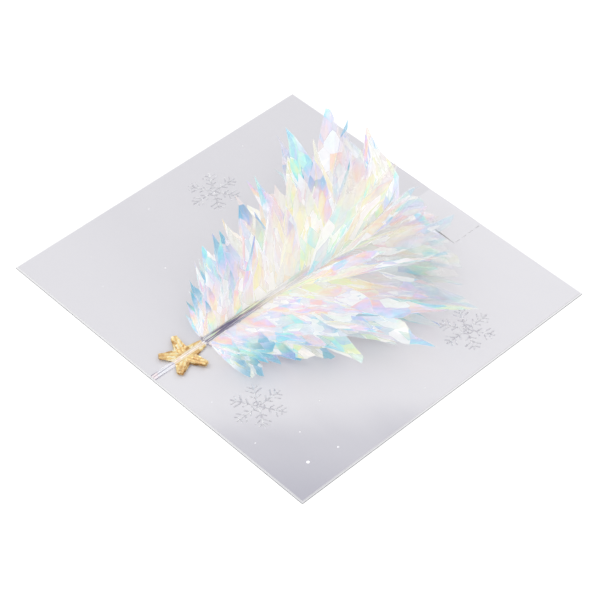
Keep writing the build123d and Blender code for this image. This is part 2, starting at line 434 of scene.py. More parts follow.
def pearl_board(colours, name, coat, pale, core):
    """Board with a pearl laminate, with painted shade greying it towards its near corner and darkening
    its far panel; its cuts show the given colour: the paper core on the liner, painted shade on the
    cover.
    """
    material, tree, shader = new_material(name)
    where = object_place(tree)
    pattern = use_group(tree, board_group(), {"Vector": where, "Grain scale": GRAIN_SCALE})
    toward = vector_maths(tree, "DOT_PRODUCT", where, NEAR_CORNER)
    wander = times_plus(tree, pattern["Clouds"], 2 * CLOUD_WANDER, toward)
    wander = maths(tree, "SUBTRACT", wander, CLOUD_WANDER)
    # Painted shade: the far panel is darker, fading to half towards the star's end of the fold
    far = between(tree, axis_of(tree, where, 0), -FOLD_BLUR, FOLD_BLUR)
    far = times(tree, far, between(tree, axis_of(tree, where, 1), 0.03, 0.1, 1.0, 0.5))
    colour = blend(tree, far, colours.board_light, colours.board_far_shade)
    # Painted shade: the board greys towards its near corner
    fades = (between(tree, wander, start, end, 0.0, most) for start, end, most in BOARD_SHADE_FADES)
    colour = blend(tree, maths(tree, "ADD", *fades), colour, colours.board_shade)
    cloud = between(tree, pattern["Clouds"], 0.3, 0.7, 0.0, 0.05)
    colour = blend(tree, cloud, colour, colours.board_shade)
    colour = blend(tree, pale, colour, WHITE)
    finish(tree, shader, {
        "Base Color": blend(tree, pattern["Cut edge"], colour, core),
        "Roughness": between(tree, pattern["Cut edge"], 0.0, 1.0, 0.34, 0.9),
        "Specular IOR Level": 0.5, "Coat Weight": coat, "Coat Roughness": 0.22,
        "Normal": bump(tree, pattern["Grain"], 0.00002, 0.35)})
    return material


def silver_foil(colours):
    """Stamped silver foil: bright, darker on random facets, with painted shade on one slope and a faint
    painted glow, and white with a stronger painted glow in the dots.
    """
    material, tree, shader = new_material("Stamped silver foil")
    where = object_place(tree)
    facets = use_group(tree, crumple_group(), {"Vector": where, "Scale": 750.0, "Bend": 0.0006})
    normal = place(tree, "NewGeometry").outputs["Normal"]
    # Painted shade: slopes that face this way are darker
    shaded = between(tree, vector_maths(tree, "DOT_PRODUCT", normal, SHADED_SLOPE), -0.1, 0.45)
    shaded = times_plus(tree, shaded, 0.5, -0.16)
    share = times_plus(tree, facets["Tone"], 1.1, shaded, clamp=True)
    colour = blend(tree, share, colours.silver_light, colours.silver_dark)
    dot = carry(tree, "dot")
    colour = blend(tree, dot, colour, WHITE)
    # Painted glow: the dots glow white, and the rest of the foil glows faintly
    finish(tree, shader, {
        "Base Color": colour, "Metallic": 0.45, "Emission Strength": 0.5,
        "Emission Color": blend(tree, maths(tree, "MAXIMUM", dot, 0.1), BLACK, colour),
        "Roughness": times_plus(tree, facets["Second tone"], 0.2, 0.22),
        "Normal": bump(tree, facets["Height"], 0.0001, 0.5)})
    return material


def seam_foil(colours):
    """Silver foil of the seam: streaked, with dark lines of painted shade at its edges, in the creases
    outside its beads, and in its sunk middle.
    """
    material, tree, shader = new_material("Seam foil")
    where = object_place(tree)
    streak = noise_value(tree, stretched(tree, where, (1400.0, 60.0, 400.0)), 1.0)
    waver = maths(tree, "SUBTRACT", streak, 0.5)
    away = maths(tree, "ABSOLUTE", times_plus(tree, waver, 0.0003, axis_of(tree, where, 0)))
    # Painted shade: dark lines in the creases outside the beads and along the sunk middle
    edges = between(tree, away, 0.00125, 0.00145)
    line = maths(tree, "MAXIMUM", edges, between(tree, away, 0.00022, 0.0001))
    line = times(tree, line, between(tree, streak, 0.35, 0.6, 0.55, 1.0))
    bright = blend(tree, line, colours.silver_light, colours.silver_crease_shade)
    beyond = between(tree, away, 0.0016, 0.0018)
    finish(tree, shader, {
        "Base Color": blend(tree, beyond, bright, colours.board_light), "Metallic": 0.2,
        "Roughness": times_plus(tree, streak, 0.3, 0.1)})
    return material


def gold_foil(colours):
    """Crumpled gold foil: pale and deep facets at random, painted shade in its pleats' valleys, painted
    highlights on their crests and on its ridges, and a pale line by the fold.
    """
    material, tree, shader = new_material("Crumpled gold foil")
    where = object_place(tree)
    facets = use_group(tree, crumple_group(), {"Vector": where, "Scale": 430.0, "Bend": 0.001})
    # Painted shade and highlight: deeper in the pleats' valleys, paler on their crests
    share = times(tree, carry(tree, "pleat"), 0.36)
    share = times_plus(tree, facets["Tone"], 0.62, share)
    colour = ramp(tree, share, (
        (0.15, colours.gold_deep), (0.36, (0.78, 0.47, 0.18)), (0.56, colours.gold_light),
        (0.7, (1.0, 0.78, 0.34)), (0.86, (1.0, 0.92, 0.66))))
    # Painted highlight on the ridges between facets
    ridge_highlight = times(tree, facets["Ridge"], 0.55)
    colour = blend(tree, ridge_highlight, colour, (1.0, 0.86, 0.5))
    wander = noise_value(tree, stretched(tree, where, (500.0, 160.0, 500.0)), 1.0)
    across = maths(tree, "ABSOLUTE", axis_of(tree, where, 0))
    away = times_plus(tree, wander, 0.0006, across)
    line = between(tree, away, 0.0008, 0.0011)
    line = times(tree, line, between(tree, away, 0.0019, 0.0016))
    finish(tree, shader, {
        "Base Color": blend(tree, line, colour, (1.0, 0.90, 0.72)),
        "Roughness": times_plus(tree, facets["Second tone"], 0.2, 0.24),
        "Metallic": 0.35, "Specular IOR Level": 0.7,
        "Normal": bump(tree, facets["Height"], 0.0006, 0.7)})
    return material


def film_colour(tree, colours, facets, fine, film):
    """The film's colour: pastel facets, white glints, deep tips, painted highlights on its cut edges and
    bands, and painted shade deep in the seam.
    """
    outward = film["outward"]
    where, along_leaf = film["where"], film["along_leaf"]
    normal = place(tree, "NewGeometry").outputs["True Normal"]
    drift = noise_value(tree, where, 34.0, 1.0)
    broad = noise_value(tree, stretched(tree, along_leaf, (1.0, 0.5, 1.0)), 1.3)
    lean = vector_maths(tree, "DOT_PRODUCT", normal, FILM_LEAN)
    hue = times_plus(tree, outward, 0.42, carry(tree, "tone"))
    for part, share in ((facets["Tone"], 0.34), (drift, 0.7), (broad, 0.7), (lean, 0.3)):
        hue = times_plus(tree, part, share, hue)
    pastel = ramp(tree, maths(tree, "FRACT", maths(tree, "ADD", hue, HUE_START)), PASTELS)
    strength = times(tree, fine["Tone"], 0.3)
    strength = times_plus(tree, facets["Second tone"], 0.7, strength)
    strength = between(tree, strength, 0.05, 0.95, 0.1, 0.8)
    strength = times_plus(tree, outward, 0.16, strength, clamp=True)
    colour = blend(tree, strength, colours.film_clear, pastel)
    colour = blend(tree, times(tree, film["glint"], 0.85), colour, WHITE)
    violet = between(tree, drift, 0.44, 0.38)
    tip = blend(tree, violet, colours.film_blue, colours.film_violet)
    colour = blend(tree, film["deep"], colour, tip)
    # Painted highlight: cut edges and the seam's bands are lighter
    colour = blend(tree, times(tree, film["rim"], 0.45), colour, WHITE)
    # Painted shade: streaks of dark film deep in the seam
    streak = noise_value(tree, stretched(tree, where, (1500.0, 45.0, 900.0)), 1.0)
    sunk = times(tree, carry(tree, "groove"), between(tree, streak, 0.4, 0.56))
    return blend(tree, sunk, colour, colours.film_seam_shade)


def film_cover(tree, facets, film):
    """How much the film covers: less where it is clear, more at glints, rims and deep tips."""
    clear = carry(tree, "clearness")
    cover = times_plus(tree, facets["Second tone"], 0.4, 0.66)
    cover = times_plus(tree, film["glint"], 0.3, cover)
    cover = times(tree, cover, maths(tree, "SUBTRACT", 1.0, clear))
    edging = times(tree, film["rim"], between(tree, clear, 0.2, 0.85, 0.55, 0.2))
    cover = maths(tree, "MAXIMUM", cover, edging)
    return maths(tree, "MAXIMUM", cover, times(tree, film["deep"], 0.8), clamp=True)


def let_light_through(tree, shader, colour, cover):
    """Makes the film milky, and lets most shadow and diffuse rays pass through it."""
    glow = place(tree, "BsdfTranslucent", {"Color": colour})
    gap, through = (place(tree, "BsdfTransparent", {"Color": WHITE}).outputs[0] for _ in range(2))
    clear_glow = place(tree, "MixShader", {0: cover, 1: gap, 2: glow.outputs[0]})
    milky = place(tree, "MixShader", {0: 0.35, 1: shader.outputs[0], 2: clear_glow.outputs[0]})
    path = place(tree, "LightPath").outputs
    passing = maths(tree, "MAXIMUM", path["Is Shadow Ray"], path["Is Diffuse Ray"])
    passing = times(tree, passing, 0.88)
    mixed = place(tree, "MixShader", {0: passing, 1: milky.outputs[0], 2: through})
    finish(tree, tree.nodes["Material Output"], {"Surface": mixed.outputs[0]})


def iridescent_film(colours):
    """Clear film with a pastel sheen that changes by facet and outward along each leaf, and a painted
    glow that stands in for light passing through it.
    """
    material, tree, shader = new_material("Iridescent film")
    along_leaf = place(tree, "UVMap", uv_map="film_uv").outputs[0]
    facets, fine = (
        use_group(tree, crumple_group(), {
            "Vector": stretched(tree, along_leaf, (1.0, length, 1.0)), "Scale": scale, "Bend": bend})
        for length, scale, bend in ((0.45, 1.5, 0.6), (0.3, 4.5, 0.5)))
    outward = carry(tree, "outward")
    glint = times_plus(tree, fine["Second tone"], 0.35, facets["Tone"])
    deep = times(tree, between(tree, outward, 0.5, 0.9), carry(tree, "accent"))
    uneven = between(tree, facets["Second tone"], 0.35, 0.6, 0.1, 0.78)
    film = {
        "where": object_place(tree), "along_leaf": along_leaf, "outward": outward,
        "rim": between(tree, carry(tree, "rim"), 0.86, 1.0), "glint": between(tree, glint, 0.88, 1.02),
        "deep": times(tree, deep, uneven)}
    colour = film_colour(tree, colours, facets, fine, film)
    cover = film_cover(tree, facets, film)
    tip_glow_share = between(tree, outward, 0.2, 0.9)
    broad = bump(tree, facets["Height"], 0.0016, 0.8)
    finish(tree, shader, {
        "Base Color": blend(tree, 1.0, colour, FILM_DULLING, "MULTIPLY"), "Alpha": cover,
        "Roughness": times_plus(tree, fine["Tone"], 0.16, 0.12), "Metallic": 0.1,
        "Specular IOR Level": 0.8, "Coat Weight": 0.4, "Coat Roughness": 0.06,
        # Painted glow: the film glows in its own colour, less towards the leaf tips
        "Emission Color": blend(tree, tip_glow_share, colour, colours.film_tip_glow, "MULTIPLY"),
        "Emission Strength": 0.6, "Thin Film Thickness": 420.0, "Thin Film IOR": 1.6,
        "Normal": bump(tree, fine["Height"], 0.0005, 0.6, Normal=broad)})
    let_light_through(tree, shader, colour, cover)
    return material


# Pieces

def add_object(name, data):
    """Adds a mesh, lamp or camera to the scene."""
    added = bpy.data.objects.new(name, data)
    bpy.context.scene.collection.objects.link(added)
    return added


def add_piece(name, mesh, material, slot, *nodes):
    """Adds a finished mesh as a piece of the card, in the place of these solids."""
    piece = add_object(name, mesh)
    mesh.materials.append(material)
    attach(piece, "root")
    if nodes:
        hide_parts(*nodes)
    return piece


def mesh_of(bm, name):
    """The mesh of a finished bmesh."""
    mesh = bpy.data.meshes.new(name)
    bm.to_mesh(mesh)
    bm.free()
    return mesh


def add_sheets(count, sheet_mesh, material, slot, node, sizes):
    """Adds the thin sheets of one kind, each in the place of its own solid."""
    for number in range(1, count + 1):
        mesh = sheet_mesh(number, sizes)
        piece = add_piece(mesh.name, mesh, material, slot, f"{node}_{number}")
        wall = piece.modifiers.new("Thickness", "SOLIDIFY")
        wall.thickness = sizes.film_thickness
        wall.offset = 0.0


def wobble(seed):
    """A fixed uneven number between -1 and 1."""
    return 2 * (sin(seed * 12.9898) * 437.585 % 1) - 1


def band_half(level):
    """Half the width of the bonded band at this level of the stack."""
    return STRIP_WIDTH / 2 - level * BAND_STEP


def band_base(level):
    """Height of the underside of the band at this level of the stack."""
    return LINER_TOP + STRIP_FOIL + (level - 1) * FILM


def elevation(fan, number, count):
    """How steep a wing stands."""
    return fan[0] + (fan[1] - fan[0]) * (number - 1) / (count - 1)


def rise(value, start, over):
    """Goes straight from 0 at the start to 1, over this length."""
    return min(1.0, max(0.0, (value - start) / over))


def leaf_tilt(wing, number, share):
    """How steep a leaf stands, at this share of the way from the star to the foot."""
    (lowest, steepest), gain, crowding = wing[:3]
    share -= (SHEET_COUNT - number) * ROW_STAGGER / LEAVES_IN_ROW
    risen = rise(share, RISE_PLACES[0], RISE_PLACES[1] - RISE_PLACES[0])
    risen *= risen * (3 - 2 * risen)
    step = ((number - 1) / (SHEET_COUNT - 1)) ** (1 + crowding * risen)
    return lowest + (steepest + gain * risen - lowest) * step


def on_wing(side, tilt, level, radius, along, height):
    """The point of a wing this far out from its bend, along the fold and off its underside."""
    slope = radians(tilt)
    x = band_half(level) + radius * cos(slope) - height * sin(slope)
    z = band_base(level) + radius * sin(slope) + height * cos(slope)
    return Vector((side * x, along, z)) * MM


class Leaf:
    """One leaf of the film, with the same root, reach and bend as the solid one."""

    def __init__(self, side, number, row):
        self.side, self.number, self.row, self.far = side, number, row, side > 0
        wing = FAR_WING if self.far else NEAR_WING
        fan, angles, reaches, trim = wing[0], *wing[3:]
        self.share = (row + ROW_STAGGER / 2 + ROW_STAGGER * (number % 2)) / LEAVES_IN_ROW
        share = self.share
        self.seed = LEAVES_IN_ROW * (2 * number + self.far) + row
        shorter, self.belly, self.lift, self.hook = (wobble(self.seed + part / 4) for part in range(4))
        place_in_row = share * (len(reaches) - 1)
        first = min(int(place_in_row), len(reaches) - 2)
        rest = place_in_row - first
        reach = reaches[first] * (1 - rest) + reaches[first + 1] * rest
        reach *= 1 - REACH_SPREAD * (1 + shorter) / 2
        self.flange_tilt = elevation(fan, number, SHEET_COUNT)
        self.tilt = leaf_tilt(wing, number, share)
        self.reach = reach * (1 - trim * share ** 2 * sin(radians(self.tilt)))
        self.slant = tan(radians(angles[0] + (angles[1] - angles[0]) * share))
        lower = max(1, number - 1)
        self.room = radians(leaf_tilt(wing, lower + 1, share) - leaf_tilt(wing, lower, share))
        self.bend = BEND_SHARE * self.room
        self.root = ROW_START - ROW_LENGTH * share * (1 - LEAF_GROWTH + LEAF_GROWTH * share)
        pitch = ROW_LENGTH / LEAVES_IN_ROW * (1 - LEAF_GROWTH + 2 * LEAF_GROWTH * share)
        self.half = (pitch - LEAF_GAP) / 2
        self.hook *= LEAF_HOOK * pitch

    def point(self, outward, across, height):
        """A point at this share of the way out, and this far off the midline and off the wing."""
        away = (self.reach - FLANGE) * outward
        drift = away / self.slant + (LEAF_SWEEP * self.reach + self.hook) * outward ** 2
        curl = BEND_SWING * self.belly * outward * (1 - outward) + self.lift * outward ** 2
        lifted = away * tan(self.bend * curl) + height
        edge = on_wing(self.side, self.flange_tilt, self.number, FLANGE, self.root - drift + across, 0)
        slope = radians(self.tilt)
        outside = away * cos(slope) - lifted * sin(slope)
        upward = away * sin(slope) + lifted * cos(slope)
        return edge + Vector((self.side * outside, 0, upward)) * MM


def give_looks(vert, layers, spot, **looks):
    """Gives a vertex its looks and its spot in the film's pattern."""
    for name, value in looks.items():
        vert[layers[name]] = value
    layers["uv_of"][vert] = spot


def lobe_width(outward, fullness):
    """Outline of a lobe: full at its root, widest a third of the way out, narrow at its tip."""
    return (1 - outward ** fullness) ** 0.9 * (0.9 + 0.14 * sin(pi * min(1.0, 1.5 * outward)))


class Lobe:
    """One crinkled lobe of a leaf, with a fixed uneven form and looks of its own."""

    def __init__(self, leaf, number, sizes):
        self.leaf, self.sizes = leaf, sizes
        self.seed = LOBE_SEEDS[0] * leaf.seed + LOBE_SEEDS[1] * number
        self.style = FAR_LOBES if leaf.far else NEAR_LOBES
        self.set_size(number)
        self.set_form()
        self.set_looks()

    def draw(self, part):
        """The lobe's own uneven number between -1 and 1 for one of its traits."""
        return wobble(self.seed + part)

    def set_size(self, number):
        """Its width, its length, and its place across the leaf."""
        leaf = self.leaf
        kind = "whole" if len(lobes_of(leaf)) == 1 else "main" if leaf.seed % 2 == number else "small"
        aside, width = LOBE_KINDS[kind]
        self.middle = aside * (1 if number else -1) * leaf.half
        self.half = width * leaf.half
        self.length = 0.62 + 0.16 * (1 + self.draw(1)) if kind == "small" else 1.0
        if not leaf.far and leaf.share > FOOT_SHARE:
            self.length *= FOOT_LENGTH
        self.steps = max(5, round(leaf.reach * self.length / self.sizes.facet_length * MM))

    def set_form(self):
        """Its outline, and how it is creased, twisted, lifted, hooked and skewed."""
        leaf, draw = self.leaf, self.draw
        self.crease = self.sizes.leaf_crease * draw(2)
        twist = draw(3)
        if not leaf.far and leaf.share > TWIST_FROM:
            twist = copysign(0.5 + 0.7 * abs(twist), twist)
        elif draw(3.5) > 0.3:
            twist = copysign(0.6 + 0.7 * abs(twist), twist)
        self.twist = self.sizes.leaf_twist * twist
        self.spread = 0.55 * leaf.room * draw(4)
        self.hook = 0.12 * draw(5)
        self.skew = 0.08 * draw(5.5)
        self.fullness = self.style["fullness"] + 1.2 * draw(10)
        self.blunt = self.style["blunt"] + 0.05 * (1 + draw(10.3))
        self.cut = 0.1 * draw(10.7)

    def set_looks(self):
        """Its tone, its clearness and how it fades, its deep tip, and the place of its pattern."""
        leaf, draw, style = self.leaf, self.draw, self.style
        tones = STAR_TONES if not leaf.far and leaf.share < NEAR_STAR else style["tones"]
        self.tone = 0.21 + 0.21 * tones * draw(9) + cast(leaf)
        self.clear = clearness(leaf, draw(8))
        self.fade = style["fade"] * rise(leaf.share, style["fade from"], 0.2)
        rare = 0.2 if leaf.far else min(0.45, 5 * leaf.share - 1.5)
        self.accent = float(draw(15) > rare and (leaf.far or leaf.share <= ACCENT_TO))
        self.shift = 40 * Vector((draw(6), draw(7)))

    def add(self, bm, layers):
        """Adds the lobe as a grid on the leaf's course, and gives it its looks."""
        leaf = self.leaf
        lowest = (LINER_TOP + 0.15 + 0.06 * leaf.number + 0.03 * leaf.row) * MM
        made = bmesh.ops.create_grid(bm, x_segments=3, y_segments=self.steps, size=1.0)["verts"]
        for number, vert in enumerate(made):
            across, outward = vert.co.x, (vert.co.y + 1) / 2
            # Edge vertices carry the painted highlight of the leaf's cut edges
            rim = abs(across) > 0.9
            if not rim:
                across += UNEVEN_ACROSS * self.draw(12 + 0.53 * number)
            if 0 < outward < 1:
                outward += UNEVEN_OUTWARD / self.steps * self.draw(13 + 0.29 * number)
            way = (outward - (abs(self.cut) + self.cut * across) * outward ** 4) * self.length
            reach = FLANGE + (leaf.reach - FLANGE) * way
            off, height = self.moved(across, outward, way, reach, self.draw(11 + 0.37 * number))
            vert.co = leaf.point(way, off, height)
            vert.co.z = max(lowest, vert.co.z)
            clear = min(CLEAREST, self.clear + self.fade * max(0.0, way - FADE_FROM))
            give_looks(vert, layers, self.shift + Vector((off, reach)) / 10, tone=self.tone,
                       outward=way, rim=float(rim), accent=self.accent, clearness=clear)

    def moved(self, across, outward, way, reach, dent):
        """Where a point lies, in millimetres off the leaf's midline and off its wing."""
        width = self.half * max(self.blunt, lobe_width(outward, self.fullness))
        free = max(0.0, outward - HELD)
        height = self.crease * abs(across) * width * min(1.0, 3 * free)
        dent *= self.sizes.leaf_crinkle / MM * min(1.0, 4 * free)
        height += tan(self.twist * free) * across * width + dent * min(1.0, 0.3 + width / 6)
        height += reach * tan(self.spread * free ** 1.6)
        bent = (self.hook * free + self.skew) * self.leaf.reach * free * self.length
        return self.middle * (1 - 0.25 * way) + across * width + bent, height


def lobes_of(leaf):
    """The lobes of a leaf: most far leaves near the star are slit in two, all others are whole."""
    return (0, 1) if leaf.far and leaf.share + 0.3 * wobble(leaf.seed * 2.7) < 0.25 else (0,)


def clearness(leaf, chance):
    """How clear a lobe is before it fades: most so at the foot of the near wing."""
    if leaf.far:
        return 0.12 + 0.1 * chance + (0.3 if chance > 0.4 else 0.0)
    if leaf.share > FOOT_SHARE:
        return 0.5 + 0.1 * chance
    gain = 0.6 if leaf.number <= SHEET_COUNT / 2 and chance < 0.8 else 0.14
    return 0.1 + 0.1 * chance + gain * rise(leaf.share, 0.55, 0.2)


def cast(leaf):
    """Where a leaf's colours lean: cyan at both ends of a wing, and warm in its middle."""
    if leaf.far:
        return 0.3 - 0.34 * sin(pi * min(1.0, 1.05 * leaf.share))
    middle = rise(leaf.share, 0.15, 0.2) * rise(1.05 - leaf.share, 0.0, 0.3)
    return 0.3 - middle * min(0.4, 0.07 * (leaf.number - 1))


def add_channel(bm, number, layers):
    """Adds a sheet's band and flanges, as a grid that is bent up on either side, with painted shade in
    the seam towards the star and a painted highlight towards the foot.
    """
    fans = ((-1, NEAR_WING[0]), (1, FAR_WING[0]))
    tilts = {side: elevation(fan, number, SHEET_COUNT) for side, fan in fans}
    start, end = ROW_START - ROW_LENGTH - FLANGE_MARGIN, ROW_START + FLANGE_MARGIN
    made = bmesh.ops.create_grid(bm, x_segments=6, y_segments=CHANNEL_STEPS, size=1.0)["verts"]
    for vert in made:
        across, share = round(3 * vert.co.x), (vert.co.y + 1) / 2
        along = start + (end - start) * share
        side = -1 if across < 0 else 1
        if abs(across) <= 1:
            out = side * band_half(number) * abs(across)
            vert.co = Vector((out, along, band_base(number) + FILM / 2)) * MM
        else:
            out = FLANGE * (abs(across) - 1) / 2
            ripple = wobble(3.1 * number + 0.7 * round(CHANNEL_STEPS * share) + across)
            ripple *= FLANGE_RIPPLE * (abs(across) - 1)
            vert.co = on_wing(side, tilts[side], number, out, along, FILM / 2 + ripple)
        # Painted shade deep in the seam, strongest towards the star; where it is weaker, a painted
        # highlight
        dark = max(0.2, rise(share, 0.62, 0.2))
        tone = 0.3 + 0.15 * wobble(number + round(9 * share) / 3)
        give_looks(vert, layers, Vector((across + 7 * number, along)) / 10, tone=tone, clearness=0.1,
                   groove=dark * (1.0 if abs(across) < 3 else 0.5), rim=1 - dark)


def add_band(bm, number, end, layers):
    """Adds the bonded band where it runs on past the leaves, lightened with a painted highlight, and
    below the top sheet with lines of painted shade at its edges and middle.
    """
    start, top = ROW_START + FLANGE_MARGIN, number == SHEET_COUNT
    made = bmesh.ops.create_grid(bm, x_segments=6, y_segments=12, size=1.0)["verts"]
    for vert in made:
        across, along = vert.co.x, start + (end - start) * (vert.co.y + 1) / 2
        crown = 0.14 * (1 - abs(across)) if top else 0.0
        vert.co = Vector((across * band_half(number), along, band_base(number) + FILM / 2 + crown)) * MM
        # Painted shade in lines at the band's edges and middle
        dark = 1.0 if abs(across) > 0.9 else 0.8 if abs(across) < 0.1 else 0.0
        give_looks(vert, layers, Vector((across, along)) / 10, tone=0.5, clearness=0.3,
                   groove=0.0 if top else dark, rim=1.0)


def film_mesh(number, sizes):
    """The mesh of one sheet of film: band, flanges and two rows of crinkled leaves."""
    bm = bmesh.new()
    names = ("tone", "outward", "clearness", "rim", "groove", "accent")
    layers = {name: bm.verts.layers.float.new(name) for name in names}
    uv = bm.loops.layers.uv.new("film_uv")
    layers["uv_of"] = {}
    add_channel(bm, number, layers)
    if number <= ANCHOR_SHEETS:
        add_band(bm, number, STRIP_END, layers)
    if number == SHEET_COUNT:
        add_band(bm, number, STAR_CENTER + STAR_NOTCH, layers)
    for side in (-1, 1):
        for row in range(LEAVES_IN_ROW):
            leaf = Leaf(side, number, row)
            for lobe in lobes_of(leaf):
                Lobe(leaf, lobe, sizes).add(bm, layers)
    for face in bm.faces:
        for loop in face.loops:
            loop[uv].uv = layers["uv_of"][loop.vert]
    bmesh.ops.triangulate(bm, faces=bm.faces[:], quad_method="ALTERNATE")
    for face in bm.faces:
        if face.normal.z < 0:
            face.normal_flip()
    return mesh_of(bm, f"leafed_film_{number}")


def star_outline(notch):
    """Corners of the star around its centre, from the fold towards the card's edge."""
    corners = []
    for number in range(2 * STAR_POINTS):
        turn = pi * number / STAR_POINTS
        outward = Vector((sin(turn), cos(turn)))
        sideways = Vector((outward.y, -outward.x)) * STAR_BLUNT / 2
        if number % 2 == 0:
            corners.append(outward * STAR_NOTCH * (notch if number else 1.0))
        else:
            corners += [outward * STAR_REACH - sideways, outward * STAR_REACH + sideways]
    return corners


def star_mesh(number, sizes):
    """The mesh of one foil star: pleated along its points and bent up from the seam."""
    level = ANCHOR_SHEETS + number
    tilt = STAR_LEAN * elevation(STAR_FAN, number, STAR_COUNT)
    base = band_base(level) + FILM / 2
    corners = [corner * sizes.star_share for corner in star_outline(sizes.star_notch)]
    bm = bmesh.new()
    bmesh.ops.create_circle(bm, cap_ends=True, cap_tris=True, segments=len(corners), radius=1.0)
    rim = [vert for vert in bm.verts if vert.co.length > 0.5]
    rim.sort(key=lambda vert: atan2(vert.co.x, vert.co.y) % tau)
    for vert, corner in zip(rim, corners):
        vert.co = (*corner, 0.0)
    bmesh.ops.subdivide_edges(bm, edges=bm.edges[:], cuts=11, use_grid_fill=True)
    bmesh.ops.recalc_face_normals(bm, faces=bm.faces[:])
    pleat = bm.verts.layers.float.new("pleat")
    for vert in bm.verts:
        flat = vert.co.copy()
        turn = atan2(flat.x, flat.y) % tau
        point = 2 * int(turn / (tau / STAR_POINTS)) + 1
        axis = pi * point / STAR_POINTS
        off = flat.x * cos(axis) - flat.y * sin(axis)
        wave = abs(((off + 0.35 * number) / PLEAT_WIDTH) % 1 - 0.5) * 2
        rough = noise.noise(Vector((flat.x, flat.y, 3.7 * number)) * 0.42)
        away, side = abs(flat.x), (-1 if flat.x < 0 else 1)
        near = min(1.0, away / 0.8)
        slope = radians(tilt) * near
        height = sizes.foil_pleat / MM * (wave - 0.5) + 0.45 * rough * min(1.0, away / 3)
        lift = 0.008 * flat.length ** 1.5 * (0.5 + noise.noise(Vector((turn, number, 0.3)) * 1.7))
        x = band_half(level) * near + away * cos(slope) - height * sin(slope)
        z = base + away * sin(slope) + near * (height * cos(slope) + lift * near)
        vert.co = Vector((side * x, STAR_CENTER + flat.y, max(z, base))) * MM
        # The pleat's height, which the gold takes as painted shade and highlight
        vert[pleat] = min(1.0, max(0.0, wave + 0.5 * rough))
    return mesh_of(bm, f"foil_star_{number}")


def verts_in(geometry):
    """The vertices among these parts of a mesh."""
    return [part for part in geometry if isinstance(part, bmesh.types.BMVert)]


def add_bar(bm, length, width, height):
    """Adds one raised line from the origin along Y, with sloping sides."""
    made = bmesh.ops.create_cube(bm, size=1.0)["verts"]
    for vert in made:
        if vert.co.z > 0:
            vert.co.x *= 0.3
            vert.co.y *= 1 - 0.5 * width / length
        vert.co = (vert.co.x * width, (vert.co.y + 0.5) * length, (vert.co.z + 0.5) * height)
    return made


def turn_about(bm, verts, degrees):
    """Turns these vertices about the upright axis through the origin."""
    turn = Matrix.Rotation(radians(degrees), 3, "Z")
    bmesh.ops.rotate(bm, verts=verts, cent=(0, 0, 0), matrix=turn)


def add_flake(bm, center, sizes):
    """Adds one six-armed flake of raised lines."""
    reach, width, relief = sizes.flake_span / 2, sizes.flake_line, sizes.flake_relief
    arm = add_bar(bm, reach, width, relief)
    for share, length, thinner, turns in FLAKE_BRANCHES:
        for turn in turns:
            branch = add_bar(bm, reach * length, width * thinner, relief * 0.9)
            turn_about(bm, branch, turn)
            bmesh.ops.translate(bm, verts=branch, vec=(0, reach * share, 0))
            arm += branch
    faces = list(dict.fromkeys(face for vert in arm for face in vert.link_faces))
    whole = list(arm)
    for number in range(1, 6):
        verts = verts_in(bmesh.ops.duplicate(bm, geom=faces)["geom"])
        turn_about(bm, verts, 60 * number)
        whole += verts
    bmesh.ops.translate(bm, verts=whole, vec=(center[0] * MM, center[1] * MM, LINER_TOP * MM))


def flakes_mesh(sizes):
    """The mesh of the three stamped flakes and the dots between them."""
    bm = bmesh.new()
    bright = bm.verts.layers.float.new("dot")
    for center in FLAKES:
        add_flake(bm, center, sizes)
    for x, y, width in DOTS:
        dot = bmesh.ops.create_icosphere(bm, subdivisions=2, radius=width / 2 * MM)["verts"]
        for vert in dot:
            vert.co.z = max(0.0, vert.co.z) * DOT_HEIGHT
            # How strongly a dot glows with painted light
            vert[bright] = min(1.0, width / 2)
        bmesh.ops.translate(bm, verts=dot, vec=(x * MM, y * MM, LINER_TOP * MM))
    bmesh.ops.recalc_face_normals(bm, faces=bm.faces[:])
    return mesh_of(bm, "stamped_flakes")


def seam_mesh(sizes):
    """The mesh of the seam strip: a sunk middle between two round beads."""
    bead = sizes.bead_radius / MM
    edge, side = STRIP_WIDTH / 2, STRIP_FOIL * 0.9
    section = [(-edge, 0.0), (-edge, side)]
    for number in range(BEAD_FACES + 1):
        angle = pi * (1 - number / BEAD_FACES)
        section.append((-BEAD_PLACE + bead * cos(angle), side + 1.1 * bead * sin(angle)))
    section.append((0.0, STRIP_FOIL * 0.7))
    section += [(-x, z) for x, z in section[-2::-1]]
    bm = bmesh.new()
    face = bm.faces.new([bm.verts.new(Vector((x, STRIP_FOOT, LINER_TOP + z)) * MM) for x, z in section])
    moved = verts_in(bmesh.ops.extrude_face_region(bm, geom=[face])["geom"])
    bmesh.ops.translate(bm, verts=moved, vec=(0, (STRIP_END - STRIP_FOOT) * MM, 0))
    bmesh.ops.recalc_face_normals(bm, faces=bm.faces[:])
    return mesh_of(bm, "beaded_seam")


# Operators

class CARD_OT_dress_boards(bpy.types.Operator):
    """Give the cover and the liner their pearl board"""

    bl_idname = "card.dress_boards"
    bl_label = "Dress the boards"

    def execute(self, context):
        colours = context.scene.card_colours
        # The cover's cut edge takes painted shade, the liner's shows its paper core
        finishes = {"card_cover": pearl_board(colours, "Cover board", 0.15, 0.55, colours.board_cut_shade),
                    "card_liner": pearl_board(colours, "Liner board", 0.35, 0.0, colours.board_core)}
        for node, material in finishes.items():
            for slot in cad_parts[node].material_slots:
                slot.material = material
        return {"FINISHED"}


